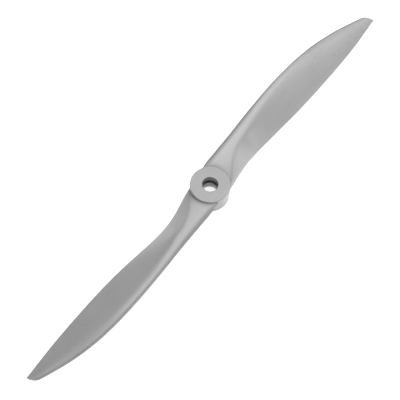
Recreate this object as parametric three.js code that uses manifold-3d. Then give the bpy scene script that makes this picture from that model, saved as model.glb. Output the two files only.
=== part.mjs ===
// Two-blade fixed-pitch propeller for a model aircraft, moulded in one piece.
// Millimetres, +Z forward (out of the front hub face), blades along +X and -X.
// It turns counter-clockwise seen from the front, so each leading edge is on the side it turns towards.

import * as THREE from "three";
import { ParametricGeometry } from "three/addons/geometries/ParametricGeometry.js";
import { mergeVertices } from "three/addons/utils/BufferGeometryUtils.js";
import Module from "manifold-3d";

// Driving dimensions
const DIAMETER = 254;
const PITCH = 127;
const HUB_DIAMETER = 19.3;
const HUB_THICKNESS = 10;
const HUB_EDGE_RADIUS = 0.35;
const BORE_DIAMETER = 6.35;
const COUNTERBORE_DIAMETER = 7.6;
const COUNTERBORE_DEPTH = 4.4;
const REAR_RECESS_DEPTH = 1.8; // as wide as the counterbore

const TIP_RADIUS = DIAMETER / 2;
const ROOT_START = 1; // first blade section, inside the hub
const TIP_ROUND_START = 123.5; // where the leading edge starts to turn in to the tip corner
const TIP_FULLNESS = 2.2; // 2 makes the turn a quarter ellipse, more makes it squarer

// Fineness of the faceted surfaces
const HUB_SEGMENTS = 72;
const ARC_STEPS = 3;
const CUT_MARGIN = 1; // how far the bore's shape runs past the hub faces
const SECTION_POINTS = 36;
const SPAN_ROWS = 38;
const SPAN_BUNCHING = 1.15; // more than 1 moves rows towards the root
const SMALLEST = 1e-3; // keeps divisions by a vanishing edge radius finite
const MERGE_DISTANCE = 1e-4;

// One blade, as [distance from the hub axis, value] pairs
const LEADING_EDGE_Y = [
  [1, 7.7], [4.3, 8.6], [8, 9.4], [28, 10.6], [50, 12.2],
  [70, 12.9], [90, 12], [106, 9.1], [118, 5.4], [127, 2.1],
];
const TRAILING_EDGE_Y = [
  [1, -7.8], [4.3, -7.7], [8, -7.3], [12, -6.5], [16, -5.6],
  [24, -4.2], [34, -3.9], [60, -5.2], [80, -5.3], [106, -4.2], [127, -2.1],
];
const TRAILING_EDGE_Z = [
  [1, 5.8], [4.3, 5.6], [12, 4.8], [20, 3], [30, 1.7],
  [40, 1.9], [52, 2.8], [70, 3.6], [106, 3.9], [127, 4.8],
];
const TRAILING_EDGE_RADIUS = [[1, 1.6], [8, 1.4], [16, 0.9], [28, 0.5], [40, 0.3], [127, 0.3]];
const LEADING_EDGE_RADIUS = [[1, 0.6], [80, 0.6], [127, 0.2]];
const THICKNESS = [[1, 5], [16, 4.6], [30, 3.9], [50, 2.9], [80, 2.2], [110, 1.5], [127, 1]];
const CAMBER = 0.035;
const CAMBER_POSITION = 0.4;

// Near the hub the surface is less steep than the constant-pitch helix
const ROOT_SLOPE = [[1, 0.28], [12, 0.34], [17, 0.4], [21, 0.46], [25, 0.51], [29, 0.57], [40, 0.8]];
const SLOPE_SOFTNESS = 0.04;

// The root lies between two flats just inside the hub faces; the front one ends in a rounded nose
const FRONT_FLAT_Z = [[1, 9.2], [12, 9.3], [20, 9.6], [34, 10.2], [45, 10.5], [70, 13], [127, 13]];
const FRONT_CROWN_RADIUS = 75; // the front flat is slightly crowned and falls away from the nose
const REAR_FLAT_Z = 0.4;
const NOSE_DROP = [[1, 0.6], [24, 0.9], [44, 0.6], [127, 0.6]];
const NOSE_WIDTH = 2;
const TAIL_WIDTH = 3;
const NOSE_BLUNT_FADE = 4; // power that keeps the leading edge's bluntness close to the edge
const CREASE_FADE = 0.05; // the crease is sharp at the ends of the chord, below this c * (1 - c)
const CREASE_SOFTNESS = [[1, 0.5], [24, 0.6], [45, 0.8], [70, 0], [127, 0]];

const MATERIAL_COLOUR = 0x9d9d9d;
const MATERIAL_ROUGHNESS = 0.5;

// Smooth curve through [x, y] points: cubic Hermite pieces with averaged slopes
function curveThrough(points) {
  const slopes = points.map((point, i) => {
    const before = points[Math.max(i - 1, 0)];
    const after = points[Math.min(i + 1, points.length - 1)];
    return (after[1] - before[1]) / (after[0] - before[0]);
  });
  return (x) => {
    let i = 0;
    while (i < points.length - 2 && x > points[i + 1][0]) i += 1;
    const [x0, y0] = points[i];
    const [x1, y1] = points[i + 1];
    const width = x1 - x0;
    const t = THREE.MathUtils.clamp((x - x0) / width, 0, 1);
    const rise = y1 - y0;
    const a = slopes[i] * width - rise;
    const b = rise - slopes[i + 1] * width;
    return y0 + rise * t + t * (1 - t) * (a * (1 - t) + b * t);
  };
}

const leadingEdgeY = curveThrough(LEADING_EDGE_Y);
const trailingEdgeY = curveThrough(TRAILING_EDGE_Y);
const trailingEdgeZ = curveThrough(TRAILING_EDGE_Z);
const trailingEdgeRadius = curveThrough(TRAILING_EDGE_RADIUS);
const leadingEdgeRadius = curveThrough(LEADING_EDGE_RADIUS);
const rootSlope = curveThrough(ROOT_SLOPE);
const thickness = curveThrough(THICKNESS);
const frontFlatZ = curveThrough(FRONT_FLAT_Z);
const noseDrop = curveThrough(NOSE_DROP);
const creaseSoftness = curveThrough(CREASE_SOFTNESS);

// Camber line height as a fraction of the chord (two parabolas)
function camberLine(c) {
  const p = CAMBER_POSITION;
  if (c < p) return (CAMBER / (p * p)) * (2 * p * c - c * c);
  return (CAMBER / ((1 - p) * (1 - p))) * (1 - 2 * p + 2 * p * c - c * c);
}

// Half thickness of the section as a fraction of its full thickness, zero at both ends
function halfThickness(c) {
  return 5 * (0.2969 * Math.sqrt(c) - 0.126 * c - 0.3516 * c * c + 0.2843 * c ** 3 - 0.1036 * c ** 4);
}

// Quarter ellipse from 0 to 1 over the given width
function rounding(distance, width) {
  const rest = 1 - Math.min(distance / width, 1);
  return Math.sqrt(1 - rest * rest);
}

function softMin(a, b, softness) {
  return (a + b - Math.hypot(a - b, softness)) / 2;
}

// One point of the blade: around runs round the section, x is the distance from the hub axis
function sectionPoint(around, x, target) {
  const c = (1 + Math.cos(2 * Math.PI * around)) / 2; // 0 at the leading edge, 1 at the trailing edge
  const tip = Math.max(0, (x - TIP_ROUND_START) / (TIP_RADIUS - TIP_ROUND_START));
  const tipScale = Math.max(0, 1 - tip ** TIP_FULLNESS) ** (1 / TIP_FULLNESS);
  const width = (leadingEdgeY(x) - trailingEdgeY(x)) * tipScale;
  const slope = softMin(PITCH / (2 * Math.PI * x), rootSlope(x), SLOPE_SOFTNESS);
  const tilt = Math.hypot(1, slope); // height of a unit offset at right angles to the chord
  const tailZ = trailingEdgeZ(x);
  const flatZ = frontFlatZ(x);
  const edge = trailingEdgeRadius(x) * tipScale;
  const lead = leadingEdgeRadius(x) * tipScale;
  const noseZ = Math.min(tailZ + width * slope, flatZ - noseDrop(x));
  const softness = creaseSoftness(x) * THREE.MathUtils.smoothstep(c * (1 - c), 0, CREASE_FADE);
  const fromTail = (1 - c) * width;
  const fromNose = c * width;
  const tailBlunt = edge * c * rounding(fromTail, Math.max(edge, SMALLEST));
  const noseBlunt = lead * (1 - c) ** NOSE_BLUNT_FADE * rounding(fromNose, Math.max(lead, SMALLEST));
  const half = halfThickness(c) * thickness(x) * Math.sqrt(tipScale) * tilt + tailBlunt + noseBlunt;
  const camber = camberLine(c) * width * tilt * tilt;
  const crown = (fromNose * fromNose) / (2 * FRONT_CROWN_RADIUS);
  const nose = noseZ + (flatZ - noseZ) * rounding(fromNose, NOSE_WIDTH) - crown;
  const tail = tailZ - (tailZ - REAR_FLAT_Z) * rounding(fromTail, TAIL_WIDTH);
  const front = softMin(tailZ + fromTail * slope + camber + half, nose, softness);
  const rear = -softMin(-(noseZ - fromNose * slope + camber - half), -tail, softness);
  const middle = (front + rear) / 2;
  const z = around === 0 || around === 0.5 ? middle : around > 0.5 ? front : rear;
  target.set(x, trailingEdgeY(x) + fromTail, z);
}

// Closed blade surface: first and last rows close the root end and the tip
function bladeGeometry() {
  const centre = new THREE.Vector3();
  const geometry = new ParametricGeometry((around, along, target) => {
    const row = Math.round(along * SPAN_ROWS);
    const spread = THREE.MathUtils.clamp((row - 1) / (SPAN_ROWS - 2), 0, 1);
    const x = THREE.MathUtils.lerp(ROOT_START, TIP_RADIUS, Math.sin((Math.PI / 2) * spread ** SPAN_BUNCHING));
    if (row === 0 || row === SPAN_ROWS) {
      sectionPoint(0, x, target);
      sectionPoint(0.5, x, centre);
      target.lerp(centre, 0.5);
      return;
    }
    sectionPoint(around % 1, x, target);
  }, SECTION_POINTS, SPAN_ROWS);
  return geometry;
}

// Solid hub with rounded rims
function hubGeometry() {
  const outer = HUB_DIAMETER / 2;
  const edge = HUB_EDGE_RADIUS;
  const outline = new THREE.Path();
  outline.moveTo(0, 0);
  outline.lineTo(outer - edge, 0);
  outline.absarc(outer - edge, edge, edge, -Math.PI / 2, 0, false);
  outline.lineTo(outer, HUB_THICKNESS - edge);
  outline.absarc(outer - edge, HUB_THICKNESS - edge, edge, 0, Math.PI / 2, false);
  outline.lineTo(0, HUB_THICKNESS);
  return new THREE.LatheGeometry(outline.getPoints(ARC_STEPS), HUB_SEGMENTS).rotateX(Math.PI / 2);
}

// Shape of the bore, wider at the front and in the rear recess, longer than the hub at both ends
function boreGeometry() {
  const bore = BORE_DIAMETER / 2;
  const counterbore = COUNTERBORE_DIAMETER / 2;
  const ledge = HUB_THICKNESS - COUNTERBORE_DEPTH;
  const outline = new THREE.Path();
  outline.moveTo(0, -CUT_MARGIN);
  outline.lineTo(counterbore, -CUT_MARGIN);
  outline.lineTo(counterbore, REAR_RECESS_DEPTH);
  outline.lineTo(bore, REAR_RECESS_DEPTH);
  outline.lineTo(bore, ledge);
  outline.lineTo(counterbore, ledge);
  outline.lineTo(counterbore, HUB_THICKNESS + CUT_MARGIN);
  outline.lineTo(0, HUB_THICKNESS + CUT_MARGIN);
  return new THREE.LatheGeometry(outline.getPoints(), HUB_SEGMENTS).rotateX(Math.PI / 2);
}

const wasm = await Module();
wasm.setup();

// Closed three.js geometry to a manifold-3d solid, without the flat triangles of closed rows
function toSolid(geometry) {
  geometry.deleteAttribute("normal");
  geometry.deleteAttribute("uv");
  const merged = mergeVertices(geometry, MERGE_DISTANCE);
  const index = Array.from(merged.index.array);
  const triangles = [];
  for (let i = 0; i < index.length; i += 3) {
    const [a, b, c] = index.slice(i, i + 3);
    if (a !== b && b !== c && c !== a) triangles.push(a, b, c);
  }
  const vertProperties = new Float32Array(merged.attributes.position.array);
  const triVerts = new Uint32Array(triangles);
  return new wasm.Manifold(new wasm.Mesh({ numProp: 3, vertProperties, triVerts }));
}

function toGeometry(solid) {
  const mesh = solid.getMesh();
  const geometry = new THREE.BufferGeometry();
  geometry.setAttribute("position", new THREE.BufferAttribute(mesh.vertProperties, 3));
  geometry.setIndex(new THREE.BufferAttribute(mesh.triVerts, 1));
  geometry.computeVertexNormals();
  return geometry;
}

function propellerMesh() {
  const hub = toSolid(hubGeometry());
  const blade = toSolid(bladeGeometry());
  const oppositeBlade = toSolid(bladeGeometry().rotateZ(Math.PI));
  const moulding = hub.add(blade).add(oppositeBlade).subtract(toSolid(boreGeometry()));
  const material = new THREE.MeshStandardMaterial({
    color: MATERIAL_COLOUR,
    roughness: MATERIAL_ROUGHNESS,
    metalness: 0,
  });
  const mesh = new THREE.Mesh(toGeometry(moulding), material);
  mesh.name = "propeller";
  return mesh;
}

const part = new THREE.Group();
part.add(propellerMesh());

export default part;
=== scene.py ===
import math

import bmesh
import bpy
from mathutils import Matrix, Vector


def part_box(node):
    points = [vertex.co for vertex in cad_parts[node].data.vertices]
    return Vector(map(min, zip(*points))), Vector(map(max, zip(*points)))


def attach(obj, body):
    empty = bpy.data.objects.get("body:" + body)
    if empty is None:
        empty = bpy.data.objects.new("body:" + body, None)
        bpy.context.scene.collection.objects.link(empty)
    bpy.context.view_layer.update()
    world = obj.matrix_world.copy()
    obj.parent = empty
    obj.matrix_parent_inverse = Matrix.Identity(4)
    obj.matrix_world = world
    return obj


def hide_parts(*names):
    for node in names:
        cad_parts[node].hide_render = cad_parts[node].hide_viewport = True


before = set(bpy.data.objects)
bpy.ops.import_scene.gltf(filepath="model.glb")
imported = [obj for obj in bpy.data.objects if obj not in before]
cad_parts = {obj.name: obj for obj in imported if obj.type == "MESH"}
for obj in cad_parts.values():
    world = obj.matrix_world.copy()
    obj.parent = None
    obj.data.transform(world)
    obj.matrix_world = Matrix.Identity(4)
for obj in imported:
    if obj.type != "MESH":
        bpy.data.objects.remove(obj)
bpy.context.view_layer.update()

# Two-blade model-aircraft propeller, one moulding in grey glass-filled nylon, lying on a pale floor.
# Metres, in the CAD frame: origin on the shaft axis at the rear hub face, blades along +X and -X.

PART_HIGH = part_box("propeller")[1]

# Driving dimensions: the span comes from the frame, the rest is set here
TIP_RADIUS = PART_HIGH[0]
HUB_THICKNESS = 0.010
PITCH = 0.127
HUB_RADIUS = 0.00965
HUB_EDGE_RADIUS = 0.00035
BORE_RADIUS = 0.003175
COUNTERBORE_RADIUS = 0.0038
COUNTERBORE_DEPTH = 0.0044
REAR_RECESS_DEPTH = 0.0018  # as wide as the counterbore
BORE_EDGE_RADIUS = 0.00012
ROOT_START = 0.001  # first blade section, inside the hub
ROOT_END_RADIUS = 0.0088  # the hidden end of each blade lies inside the hub ring
TIP_ROUND_START = 0.1235  # where the leading edge starts to turn in to the tip corner
TIP_FULLNESS = 2.2  # 2 makes the turn a quarter ellipse, more makes it squarer

# One blade, as (distance from the hub axis, value) pairs
LEADING_EDGE_Y = (
    (0.001, 0.0077), (0.0043, 0.0086), (0.008, 0.0094), (0.028, 0.0106), (0.050, 0.0122),
    (0.070, 0.0129), (0.090, 0.0120), (0.106, 0.0091), (0.118, 0.0054), (0.127, 0.0021),
)
TRAILING_EDGE_Y = (
    (0.001, -0.0078), (0.0043, -0.0077), (0.008, -0.0073), (0.012, -0.0065), (0.016, -0.0056),
    (0.024, -0.0042), (0.034, -0.0039), (0.060, -0.0052), (0.080, -0.0053), (0.106, -0.0042),
    (0.127, -0.0021),
)
TRAILING_EDGE_Z = (
    (0.001, 0.0058), (0.0043, 0.0056), (0.012, 0.0048), (0.020, 0.0030), (0.030, 0.0017),
    (0.040, 0.0019), (0.052, 0.0028), (0.070, 0.0036), (0.106, 0.0039), (0.127, 0.0048),
)
TRAILING_EDGE_RADIUS = (
    (0.001, 0.0016), (0.008, 0.0014), (0.016, 0.0009), (0.028, 0.0005), (0.040, 0.0003), (0.127, 0.0003),
)
LEADING_EDGE_RADIUS = ((0.001, 0.0006), (0.080, 0.0006), (0.127, 0.0002))
THICKNESS = (
    (0.001, 0.0050), (0.016, 0.0046), (0.030, 0.0039), (0.050, 0.0029), (0.080, 0.0022),
    (0.110, 0.0015), (0.127, 0.0010),
)
CAMBER = 0.035
CAMBER_POSITION = 0.4

# Near the hub the surface is less steep than the constant-pitch helix
ROOT_SLOPE = (
    (0.001, 0.28), (0.012, 0.34), (0.017, 0.40), (0.021, 0.46), (0.025, 0.51), (0.029, 0.57),
    (0.040, 0.80),
)
SLOPE_SOFTNESS = 0.04

# The root lies between two flats just inside the hub faces; the front one ends in a rounded nose
FRONT_FLAT_Z = (
    (0.001, 0.0092), (0.012, 0.0093), (0.020, 0.0096), (0.034, 0.0102), (0.045, 0.0105), (0.070, 0.0130),
    (0.127, 0.0130),
)
FRONT_CROWN_RADIUS = 0.075  # the front flat is slightly crowned and falls away from the nose
REAR_FLAT_Z = 0.0004
NOSE_DROP = ((0.001, 0.0006), (0.024, 0.0009), (0.044, 0.0006), (0.127, 0.0006))
NOSE_WIDTH = 0.002
TAIL_WIDTH = 0.003
NOSE_BLUNT_FADE = 4  # power that keeps the leading edge's bluntness close to the edge
CREASE_SOFTNESS = ((0.001, 0.0005), (0.024, 0.0006), (0.045, 0.0008), (0.070, 0.0), (0.127, 0.0))
CREASE_FADE = 0.05  # the crease is sharp at the ends of the chord, below this c * (1 - c)

# Fineness of the mesh
HUB_SEGMENTS = 288
ARC_STEPS = 6
FACE_POINTS = 6  # points added along each straight stretch of the hub outline
WALL_POINTS = 12
BORE_POINTS = 4
RECESS_POINTS = 2
SECTION_POINTS = 112
FILLET_RADIUS = 0.00015  # where a blade runs into the hub wall
FILLET_ROWS = 5
ROOT_ROWS_END = 0.024  # up to here the rows are close and bend round the hub
ROOT_ROW_STEP = 0.0005
ROOT_ROW_TRIES = 8  # steps that find where a bent row crosses each part of the section
SPAN_ROW_STEP = 0.0011
TIP_ROWS = 24
SHARP_ANGLE = math.radians(38)
SMALLEST = 1e-6  # keeps divisions by a vanishing length finite

# Wear of the surface and painted light and shade, with the change of grey where each kind is strongest
WEAR_AND_PAINTED_LIGHT_TINTS = (
    ("rubbed_edge", 0.035),  # rims of the hub and trailing edges
    ("painted_highlight_band", 0.085),  # painted highlight behind the nose of a blade, wider at the root
    # painted shade along the nose, which is also rougher there
    ("scuffed_shaded_nose", -0.075),
    ("painted_corner_shade", -0.24),  # painted shade in the bore, on the hub wall and where a blade meets it
)
RUBBED_WIDTH = 0.0004
# Width of the darker, rougher nose; its darkening is painted shade
SCUFF_AND_SHADE_WIDTH = ((0.001, 0.0026), (0.030, 0.0023), (0.060, 0.0016), (0.127, 0.0014))
BAND_OFFSET = 0.0010  # from the end of the scuffed, shaded nose to the middle of the painted highlight band
BAND_WIDTH = 0.0013  # on its nose side
BAND_TAIL_WIDTH = ((0.001, 0.0065), (0.020, 0.0060), (0.034, 0.0018), (0.127, 0.0013))
BAND_FADE = (0.060, 0.105)  # distances from the hub axis between which the band fades out
# Painted shade: how far it reaches out from the hub wall, and its shares at the corner and on the wall
SHADE_WIDTH = 0.0008
CORNER_SHADE = 0.6  # share of the full painted shade where a blade meets the hub wall
WALL_SHADE = 0.35
HUB_WALL_MARGIN = 0.000002  # points this close to the hub wall count as the hub's

# Grey glass-filled nylon
NYLON_GREY = 0.345
NYLON_ROUGHNESS = 0.30
NYLON_IOR = 1.5
NOISE_RANGE = (0.3, 0.7)  # the part of a noise that is stretched to its full effect
FLOW_STRETCH = (0.22, 1.0, 1.0)  # less than 1 draws a noise out along the blades
FLOW_SCALE = 150
FLOW_DETAIL = 3
FLOW_TINT = 0.010
CLOUD_SCALE = 45
CLOUD_TINT = 0.009
CLOUD_ROUGHNESS = 0.02
FIBRE_STRETCH = (0.35, 1.0, 1.0)
FIBRE_SCALE = 2600
FIBRE_TINT = 0.006
FIBRE_ROUGHNESS = 0.04
GRAIN_SCALE = 4200
FINE_DETAIL = 2
FINE_NOISE_ROUGHNESS = 0.6
SCUFF_ROUGHNESS = 0.25
FIBRE_SHARE = 0.6  # of the surface relief, the rest is grain
RELIEF_STRENGTH = 0.35
RELIEF_HEIGHT = 0.00004

# Studio: a pale floor lit from below like a light table, soft round lamps
FLOOR_SIZE = 12 * TIP_RADIUS  # half its side
FLOOR_COLOUR = (0.93, 0.93, 0.93, 1)
FLOOR_ROUGHNESS = 0.9
FLOOR_SPECULAR = 0.1
FLOOR_GLOW = 0.75
WHITE = (1, 1, 1, 1)
WORLD_STRENGTH = 0.02

# name, azimuth and elevation it shines from, distance, diameter, power in watts
LIGHTS = (
    ("left_low", -90, 12, 0.9, 0.5, 3.5),
    ("front_left_low", -45, 12, 0.9, 0.5, 2.7),
    ("front_low", 0, 12, 0.9, 0.5, 1.0),
    ("front_right_low", 45, 12, 0.9, 0.5, 1.9),
    ("back_low", -180, 12, 0.9, 0.5, 0.4),
    ("right", 90, 40, 0.9, 0.4, 2.1),
    ("back_right", 135, 40, 0.9, 0.4, 1.5),
    ("overhead_right", 68, 63, 0.9, 0.36, 1.0),
    ("overhead", 106, 64, 0.9, 0.36, 0.95),
    ("overhead_back", 148, 63, 0.9, 0.36, 1.2),
    ("overhead_high", 125, 79, 0.9, 0.36, 1.1),
)

CAMERA_TARGET = Vector((-0.0081, -0.0006, 0.0064))
CAMERA_AZIMUTH = -53.9
CAMERA_ELEVATION = 63.27
CAMERA_ROLL = 3.99
CAMERA_DISTANCE = 0.793
CAMERA_LENS = 150.9
SENSOR_WIDTH = 36
CLIP_START = 0.01


# ---------------------------------------------------------------- shape of the blade

def curve_through(points):
    """Smooth curve through (x, y) points: cubic Hermite pieces with averaged slopes."""
    last = len(points) - 1
    slopes = []
    for i in range(last + 1):
        before, after = points[max(i - 1, 0)], points[min(i + 1, last)]
        slopes.append((after[1] - before[1]) / (after[0] - before[0]))

    def value(x):
        i = 0
        while i < last - 1 and x > points[i + 1][0]:
            i += 1
        (x0, y0), (x1, y1) = points[i], points[i + 1]
        width, rise = x1 - x0, y1 - y0
        t = min(max((x - x0) / width, 0), 1)
        a = slopes[i] * width - rise
        b = rise - slopes[i + 1] * width
        return y0 + rise * t + t * (1 - t) * (a * (1 - t) + b * t)

    return value


leading_edge_y = curve_through(LEADING_EDGE_Y)
trailing_edge_y = curve_through(TRAILING_EDGE_Y)
trailing_edge_z = curve_through(TRAILING_EDGE_Z)
trailing_edge_radius = curve_through(TRAILING_EDGE_RADIUS)
leading_edge_radius = curve_through(LEADING_EDGE_RADIUS)
root_slope = curve_through(ROOT_SLOPE)
thickness = curve_through(THICKNESS)
front_flat_z = curve_through(FRONT_FLAT_Z)
nose_drop = curve_through(NOSE_DROP)
crease_softness = curve_through(CREASE_SOFTNESS)
scuff_and_shade_width = curve_through(SCUFF_AND_SHADE_WIDTH)
band_tail_width = curve_through(BAND_TAIL_WIDTH)


def camber_line(c):
    """Camber line height as a fraction of the chord (two parabolas)."""
    p = CAMBER_POSITION
    if c < p:
        return CAMBER / p**2 * (2 * p * c - c * c)
    return CAMBER / (1 - p) ** 2 * (1 - 2 * p + 2 * p * c - c * c)


def half_thickness(c):
    """Half thickness of a four-digit NACA section as a fraction of its full thickness."""
    return 5 * (0.2969 * math.sqrt(c) - 0.126 * c - 0.3516 * c * c + 0.2843 * c**3 - 0.1036 * c**4)


def rounding(distance, width):
    """Quarter ellipse from 0 to 1 over the given width."""
    rest = 1 - min(distance / width, 1)
    return math.sqrt(1 - rest * rest)


def smooth_step(value, low, high):
    """Smooth rise from 0 at low to 1 at high."""
    t = min(max((value - low) / (high - low), 0), 1)
    return t * t * (3 - 2 * t)


def soft_min(a, b, softness):
    """The smaller of two values, blended where they are close."""
    return (a + b - math.hypot(a - b, softness)) / 2


def tip_scale(x):
    """Share of the chord that is left as the tip rounds off."""
    tip = max(0, (x - TIP_ROUND_START) / (TIP_RADIUS - TIP_ROUND_START))
    return max(0, 1 - tip**TIP_FULLNESS) ** (1 / TIP_FULLNESS)


def chord_y(c, x):
    """Y of the fraction c of the chord, counted from the leading edge."""
    width = (leading_edge_y(x) - trailing_edge_y(x)) * tip_scale(x)
    return trailing_edge_y(x) + (1 - c) * width


def section_point(around, x):
    """One point of the blade: around runs round the section, x is the distance from the hub axis."""
    c = (1 + math.cos(2 * math.pi * around)) / 2  # 0 at the leading edge, 1 at the trailing edge
    scale = tip_scale(x)
    width = (leading_edge_y(x) - trailing_edge_y(x)) * scale
    slope = soft_min(PITCH / (2 * math.pi * x), root_slope(x), SLOPE_SOFTNESS)
    tilt = math.hypot(1, slope)  # height of a unit offset at right angles to the chord
    tail_z = trailing_edge_z(x)
    flat_z = front_flat_z(x)
    edge = trailing_edge_radius(x) * scale
    lead = leading_edge_radius(x) * scale
    nose_z = min(tail_z + width * slope, flat_z - nose_drop(x))
    softness = crease_softness(x) * smooth_step(c * (1 - c), 0, CREASE_FADE)
    from_tail = (1 - c) * width
    from_nose = c * width
    blunt = edge * c * rounding(from_tail, max(edge, SMALLEST))
    blunt += lead * (1 - c) ** NOSE_BLUNT_FADE * rounding(from_nose, max(lead, SMALLEST))
    half = half_thickness(c) * thickness(x) * math.sqrt(scale) * tilt + blunt
    camber = camber_line(c) * width * tilt * tilt
    nose = nose_z + (flat_z - nose_z) * rounding(from_nose, NOSE_WIDTH)
    nose -= from_nose * from_nose / (2 * FRONT_CROWN_RADIUS)
    tail = tail_z - (tail_z - REAR_FLAT_Z) * rounding(from_tail, TAIL_WIDTH)
    front = soft_min(tail_z + from_tail * slope + camber + half, nose, softness)
    rear = -soft_min(-(nose_z - from_nose * slope + camber - half), -tail, softness)
    if around in (0, 0.5):
        z = (front + rear) / 2
    else:
        z = front if around > 0.5 else rear
    return Vector((x, trailing_edge_y(x) + from_tail, z))


def row_radii():
    """Distances from the hub axis of the rows of points, from the root end to just short of the tip."""
    radii = [ROOT_END_RADIUS, HUB_RADIUS - 2 * FILLET_RADIUS]
    for i in range(FILLET_ROWS + 1):
        radii.append(HUB_RADIUS + FILLET_RADIUS * (1 - math.cos(math.pi / 2 * i / FILLET_ROWS)))
    root_rows = round((ROOT_ROWS_END - radii[-1]) / ROOT_ROW_STEP)
    start = radii[-1]
    radii += [start + (ROOT_ROWS_END - start) * (i + 1) / root_rows for i in range(root_rows)]
    span = TIP_ROUND_START - ROOT_ROWS_END
    span_rows = round(span / SPAN_ROW_STEP)
    radii += [ROOT_ROWS_END + span * (i + 1) / span_rows for i in range(span_rows)]
    tip = TIP_RADIUS - TIP_ROUND_START
    radii += [TIP_ROUND_START + tip * math.sin(math.pi / 2 * (i + 1) / TIP_ROWS) for i in range(TIP_ROWS - 1)]
    return radii


def row_x(radius, around):
    """Near the hub a row follows a circle about the hub axis, further out it is a straight line."""
    c = (1 + math.cos(2 * math.pi * around)) / 2
    roundness = 1 - smooth_step(radius, HUB_RADIUS + 2 * FILLET_RADIUS, ROOT_ROWS_END)
    x = radius
    for _ in range(ROOT_ROW_TRIES):
        y = chord_y(c, max(x, ROOT_START))
        x = math.sqrt(max(radius**2 - roundness * y * y, ROOT_START**2))
    return x


def fillet_height(point):
    """How far the surface stands out where it runs into the hub wall."""
    gap = min(max(math.hypot(point.x, point.y) - HUB_RADIUS, 0), FILLET_RADIUS)
    rest = FILLET_RADIUS - gap
    return FILLET_RADIUS - math.sqrt(FILLET_RADIUS**2 - rest * rest)


def blade_mesh(turn):
    """Closed fine mesh of one blade, turned about the hub axis."""
    bm = bmesh.new()
    rows = []
    for radius in row_radii():
        row = []
        for k in range(SECTION_POINTS):
            around = k / SECTION_POINTS
            x = row_x(radius, around)
            point = section_point(around, max(x, ROOT_START))
            point.x = x
            row.append(bm.verts.new(point))
        rows.append(row)
    for lower, upper in zip(rows, rows[1:]):
        for k in range(SECTION_POINTS):
            n = (k + 1) % SECTION_POINTS
            bm.faces.new((lower[k], lower[n], upper[n], upper[k]))
    root_centre = bm.verts.new(sum((v.co for v in rows[0]), Vector()) / SECTION_POINTS)
    tip_point = bm.verts.new(section_point(0, TIP_RADIUS))
    for k in range(SECTION_POINTS):
        n = (k + 1) % SECTION_POINTS
        bm.faces.new((root_centre, rows[0][n], rows[0][k]))
        bm.faces.new((tip_point, rows[-1][k], rows[-1][n]))
    bmesh.ops.recalc_face_normals(bm, faces=bm.faces)
    bm.normal_update()
    moves = [(v, v.normal.copy(), fillet_height(v.co)) for v in bm.verts]
    for vert, normal, height in moves:
        if height > 0:
            across = Vector((vert.co.x, vert.co.y, 0)).normalized()
            outward = normal - across * normal.dot(across)
            if outward.length > SMALLEST:
                vert.co += outward.normalized() * height
    bm.transform(Matrix.Rotation(turn, 4, "Z"))
    return bm


# ---------------------------------------------------------------- hub

def arc(centre, radius, start, end):
    """Points of a round corner in the (distance, height) half plane."""
    points = []
    for i in range(ARC_STEPS + 1):
        angle = math.radians(start + (end - start) * i / ARC_STEPS)
        points.append((centre[0] + radius * math.cos(angle), centre[1] + radius * math.sin(angle)))
    return points


def line(start, end, count):
    """Points strictly between two ends, so that long faces are divided."""
    steps = [(i + 1) / (count + 1) for i in range(count)]
    return [(start[0] + (end[0] - start[0]) * s, start[1] + (end[1] - start[1]) * s) for s in steps]


def hub_outline():
    """Closed outline of the hub ring as (distance, height) points, from the rear mouth round the outside."""
    rim, lip = HUB_EDGE_RADIUS, BORE_EDGE_RADIUS
    outer, bore, mouth, top = HUB_RADIUS, BORE_RADIUS, COUNTERBORE_RADIUS, HUB_THICKNESS
    ledge = top - COUNTERBORE_DEPTH
    points = arc((mouth + lip, lip), lip, 180, 270)
    points += line((mouth + lip, 0), (outer - rim, 0), FACE_POINTS)
    points += arc((outer - rim, rim), rim, 270, 360)
    points += line((outer, rim), (outer, top - rim), WALL_POINTS)
    points += arc((outer - rim, top - rim), rim, 0, 90)
    points += line((outer - rim, top), (mouth + lip, top), FACE_POINTS)
    points += arc((mouth + lip, top - lip), lip, 90, 180)
    points += line((mouth, top - lip), (mouth, ledge), BORE_POINTS)
    points += [(mouth, ledge)]
    points += arc((bore + lip, ledge - lip), lip, 90, 180)
    points += line((bore, ledge - lip), (bore, REAR_RECESS_DEPTH + lip), BORE_POINTS)
    points += arc((bore + lip, REAR_RECESS_DEPTH + lip), lip, 180, 270)
    points += [(mouth, REAR_RECESS_DEPTH)]
    points += line((mouth, REAR_RECESS_DEPTH), (mouth, lip), RECESS_POINTS)
    return points


def hub_mesh():
    """The hub outline revolved about Z."""
    bm = bmesh.new()
    outline = hub_outline()
    rings = []
    for k in range(HUB_SEGMENTS):
        angle = 2 * math.pi * k / HUB_SEGMENTS
        rings.append([bm.verts.new((r * math.cos(angle), r * math.sin(angle), z)) for r, z in outline])
    for k in range(HUB_SEGMENTS):
        here, there = rings[k], rings[(k + 1) % HUB_SEGMENTS]
        for i in range(len(outline)):
            n = (i + 1) % len(outline)
            bm.faces.new((here[i], there[i], there[n], here[n]))
    bmesh.ops.recalc_face_normals(bm, faces=bm.faces)
    return bm


# ---------------------------------------------------------------- the moulding

def new_object(name, bm):
    mesh = bpy.data.meshes.new(name)
    bm.to_mesh(mesh)
    bm.free()
    obj = bpy.data.objects.new(name, mesh)
    bpy.context.scene.collection.objects.link(obj)
    return obj


def join_solid(target, tool):
    """Exact union of two closed meshes; the tool object is removed."""
    modifier = target.modifiers.new("join", "BOOLEAN")
    modifier.operation = "UNION"
    modifier.solver = "EXACT"
    modifier.object = tool
    evaluated = target.evaluated_get(bpy.context.evaluated_depsgraph_get())
    joined = bpy.data.meshes.new_from_object(evaluated)
    target.modifiers.clear()
    old = target.data
    target.data = joined
    joined.name = old.name
    bpy.data.meshes.remove(old)
    bpy.data.objects.remove(tool)


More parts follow.
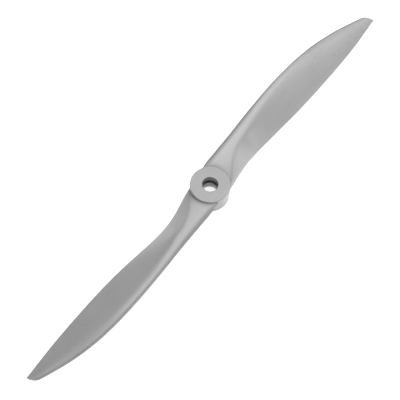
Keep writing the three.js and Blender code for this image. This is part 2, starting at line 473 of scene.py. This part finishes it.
def make_moulding():
    """The hub ring joined with two blades, as one closed mesh."""
    moulding = new_object("propeller_moulding", hub_mesh())
    for turn in (0, math.pi):
        join_solid(moulding, new_object("blade_tool", blade_mesh(turn)))
    mesh = moulding.data
    mesh.shade_smooth()
    mesh.set_sharp_from_angle(angle=SHARP_ANGLE)
    add_wear_and_painted_light(mesh)
    return moulding


def add_wear_and_painted_light(mesh):
    """Writes each kind of wear, painted highlight and painted shade at each point, from 0 to 1."""
    kinds = [mesh.attributes.new(name, "FLOAT", "POINT") for name, _ in WEAR_AND_PAINTED_LIGHT_TINTS]
    for i, vert in enumerate(mesh.vertices):
        for kind, value in zip(kinds, wear_and_painted_light(vert.co)):
            kind.data[i].value = value


def wear_and_painted_light(point):
    """Amounts of wear, painted highlight and painted shade at a point, in the order of
    WEAR_AND_PAINTED_LIGHT_TINTS.
    """
    x, y = (point.x, point.y) if point.x > 0 else (-point.x, -point.y)
    radius = math.hypot(x, y)
    # Painted shade on the counterbore wall, darkest from halfway up to the front face
    if radius < COUNTERBORE_RADIUS + BORE_EDGE_RADIUS / 2:
        above_ledge = point.z - (HUB_THICKNESS - COUNTERBORE_DEPTH)
        return 0, 0, 0, smooth_step(above_ledge, 0, COUNTERBORE_DEPTH / 2)
    # On the hub: rubbed rims, and painted shade on the outer wall
    if radius < HUB_RADIUS + HUB_WALL_MARGIN:
        rim = abs(radius - HUB_RADIUS) + min(HUB_THICKNESS - point.z, point.z)
        wall = smooth_step(radius, HUB_RADIUS - HUB_EDGE_RADIUS, HUB_RADIUS)
        return math.exp(-rim / RUBBED_WIDTH), 0, 0, WALL_SHADE * wall
    # Painted shade where a blade meets the hub wall
    painted_shade = CORNER_SHADE * math.exp(-(radius - HUB_RADIUS) / SHADE_WIDTH)
    from_nose = max(leading_edge_y(x) - y, 0)
    from_tail = max(min(y - trailing_edge_y(x), TIP_RADIUS - x), 0)
    fade_in = smooth_step(radius, HUB_RADIUS, HUB_RADIUS + 2 * NOSE_WIDTH)
    # The nose is rougher and darker; the darkening is painted shade
    width = scuff_and_shade_width(x)
    scuff_and_shade = fade_in * (1 - smooth_step(from_nose, width / 2, width))
    # Painted highlight in a band just behind the nose, fading out towards the tip
    from_band = from_nose - width - BAND_OFFSET
    band_width = BAND_WIDTH if from_band < 0 else band_tail_width(x)
    band = math.exp(-((from_band / band_width) ** 2)) * (1 - smooth_step(x, *BAND_FADE))
    return math.exp(-from_tail / RUBBED_WIDTH), fade_in * band, scuff_and_shade, painted_shade


# ---------------------------------------------------------------- material

def add_node(tree, kind, **values):
    node = tree.nodes.new(kind)
    for name, value in values.items():
        setattr(node, name, value)
    return node


def stretched(tree, vector, scale):
    node = add_node(tree, "ShaderNodeMapping")
    node.inputs["Scale"].default_value = scale
    tree.links.new(vector, node.inputs["Vector"])
    return node.outputs["Vector"]


def noise(tree, vector, scale, detail, roughness=0.5):
    node = add_node(tree, "ShaderNodeTexNoise")
    node.inputs["Scale"].default_value = scale
    node.inputs["Detail"].default_value = detail
    node.inputs["Roughness"].default_value = roughness
    tree.links.new(vector, node.inputs["Vector"])
    return node.outputs["Fac"]


def spread(tree, value, amount):
    """Stretches a noise to run from -amount to amount."""
    node = add_node(tree, "ShaderNodeMapRange")
    node.inputs["From Min"].default_value, node.inputs["From Max"].default_value = NOISE_RANGE
    node.inputs["To Min"].default_value = -amount
    node.inputs["To Max"].default_value = amount
    tree.links.new(value, node.inputs["Value"])
    return node.outputs["Result"]


def math_node(tree, operation, a, b):
    """A math node; a and b are numbers or sockets."""
    node = add_node(tree, "ShaderNodeMath", operation=operation)
    for socket, value in zip(node.inputs, (a, b)):
        if isinstance(value, (int, float)):
            socket.default_value = value
        else:
            tree.links.new(value, socket)
    return node.outputs["Value"]


def nylon_material():
    """Satin grey nylon: faint flow marks and clouds, short fibres, a fine moulded grain, the wear, and
    painted highlight and shade.
    """
    material = bpy.data.materials.new("grey_nylon_moulded")
    material.use_nodes = True
    tree = material.node_tree
    shader = tree.nodes["Principled BSDF"]
    place = add_node(tree, "ShaderNodeTexCoord").outputs["Object"]
    flow = noise(tree, stretched(tree, place, FLOW_STRETCH), FLOW_SCALE, FLOW_DETAIL)
    cloud = noise(tree, place, CLOUD_SCALE, FINE_DETAIL)
    along = stretched(tree, place, FIBRE_STRETCH)
    fibre = noise(tree, along, FIBRE_SCALE, FINE_DETAIL, FINE_NOISE_ROUGHNESS)
    grain = noise(tree, place, GRAIN_SCALE, FINE_DETAIL, FINE_NOISE_ROUGHNESS)
    painted_and_worn = {}
    for name, _ in WEAR_AND_PAINTED_LIGHT_TINTS:
        painted_and_worn[name] = add_node(tree, "ShaderNodeAttribute", attribute_name=name).outputs["Fac"]

    tint = math_node(tree, "ADD", spread(tree, flow, FLOW_TINT), spread(tree, cloud, CLOUD_TINT))
    tint = math_node(tree, "ADD", tint, spread(tree, fibre, FIBRE_TINT))
    # Wear tints, painted highlight and painted shade, each scaled by its mask
    for name, change in WEAR_AND_PAINTED_LIGHT_TINTS:
        tint = math_node(tree, "ADD", tint, math_node(tree, "MULTIPLY", painted_and_worn[name], change))
    grey = math_node(tree, "ADD", tint, NYLON_GREY)
    colour = add_node(tree, "ShaderNodeCombineColor")
    for socket in colour.inputs:
        tree.links.new(grey, socket)
    tree.links.new(colour.outputs["Color"], shader.inputs["Base Color"])

    rough = math_node(tree, "ADD", spread(tree, fibre, FIBRE_ROUGHNESS), spread(tree, cloud, CLOUD_ROUGHNESS))
    scuffed = math_node(tree, "MULTIPLY", painted_and_worn["scuffed_shaded_nose"], SCUFF_ROUGHNESS)
    rough = math_node(tree, "ADD", rough, scuffed)
    tree.links.new(math_node(tree, "ADD", rough, NYLON_ROUGHNESS), shader.inputs["Roughness"])

    fibre_relief = math_node(tree, "MULTIPLY", fibre, FIBRE_SHARE)
    relief = math_node(tree, "ADD", fibre_relief, math_node(tree, "MULTIPLY", grain, 1 - FIBRE_SHARE))
    bump = add_node(tree, "ShaderNodeBump")
    bump.inputs["Strength"].default_value = RELIEF_STRENGTH
    bump.inputs["Distance"].default_value = RELIEF_HEIGHT
    tree.links.new(relief, bump.inputs["Height"])
    tree.links.new(bump.outputs["Normal"], shader.inputs["Normal"])
    shader.inputs["IOR"].default_value = NYLON_IOR
    return material


# ---------------------------------------------------------------- studio

def direction(azimuth, elevation):
    """Unit vector towards an azimuth (0 is -Y, 90 is +X) and an elevation, in degrees."""
    a, e = math.radians(azimuth), math.radians(elevation)
    return Vector((math.sin(a) * math.cos(e), -math.cos(a) * math.cos(e), math.sin(e)))


def aim(obj, target, back, distance, roll=0):
    """Places an object at a distance from the target, looking at it, turned by roll degrees in its view."""
    turn = back.to_track_quat("Z", "Y").to_matrix() @ Matrix.Rotation(math.radians(roll), 3, "Z")
    obj.matrix_world = Matrix.Translation(target + back * distance) @ turn.to_4x4()


def make_camera():
    """Looks down at the front of the hub from one side, with the blades running up to the right."""
    data = bpy.data.cameras.new("camera")
    data.lens = CAMERA_LENS
    data.sensor_width = SENSOR_WIDTH
    data.clip_start = CLIP_START
    camera = bpy.data.objects.new("camera", data)
    bpy.context.scene.collection.objects.link(camera)
    aim(camera, CAMERA_TARGET, direction(CAMERA_AZIMUTH, CAMERA_ELEVATION), CAMERA_DISTANCE, CAMERA_ROLL)
    bpy.context.scene.camera = camera


def make_lights():
    for name, azimuth, elevation, distance, size, power in LIGHTS:
        data = bpy.data.lights.new(name, "AREA")
        data.shape = "DISK"
        data.size = size
        data.energy = power
        light = bpy.data.objects.new(name, data)
        bpy.context.scene.collection.objects.link(light)
        aim(light, Vector((0, 0, 0)), direction(azimuth, elevation), distance)


def make_world():
    world = bpy.data.worlds.new("studio")
    world.use_nodes = True
    background = world.node_tree.nodes["Background"]
    background.inputs["Color"].default_value = WHITE
    background.inputs["Strength"].default_value = WORLD_STRENGTH
    bpy.context.scene.world = world


def make_floor():
    bm = bmesh.new()
    corners = ((-1, -1), (1, -1), (1, 1), (-1, 1))
    bm.faces.new([bm.verts.new((x * FLOOR_SIZE, y * FLOOR_SIZE, 0)) for x, y in corners])
    floor = new_object("floor", bm)
    material = bpy.data.materials.new("pale_floor")
    material.use_nodes = True
    shader = material.node_tree.nodes["Principled BSDF"]
    shader.inputs["Base Color"].default_value = FLOOR_COLOUR
    shader.inputs["Roughness"].default_value = FLOOR_ROUGHNESS
    shader.inputs["Specular IOR Level"].default_value = FLOOR_SPECULAR
    shader.inputs["Emission Color"].default_value = WHITE
    shader.inputs["Emission Strength"].default_value = FLOOR_GLOW
    floor.data.materials.append(material)


make_camera()
make_world()
make_lights()
make_floor()

moulding = make_moulding()
moulding.data.materials.clear()
moulding.data.materials.append(nylon_material())
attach(moulding, "root")
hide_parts("propeller")

bpy.context.scene.view_settings.view_transform = "Standard"
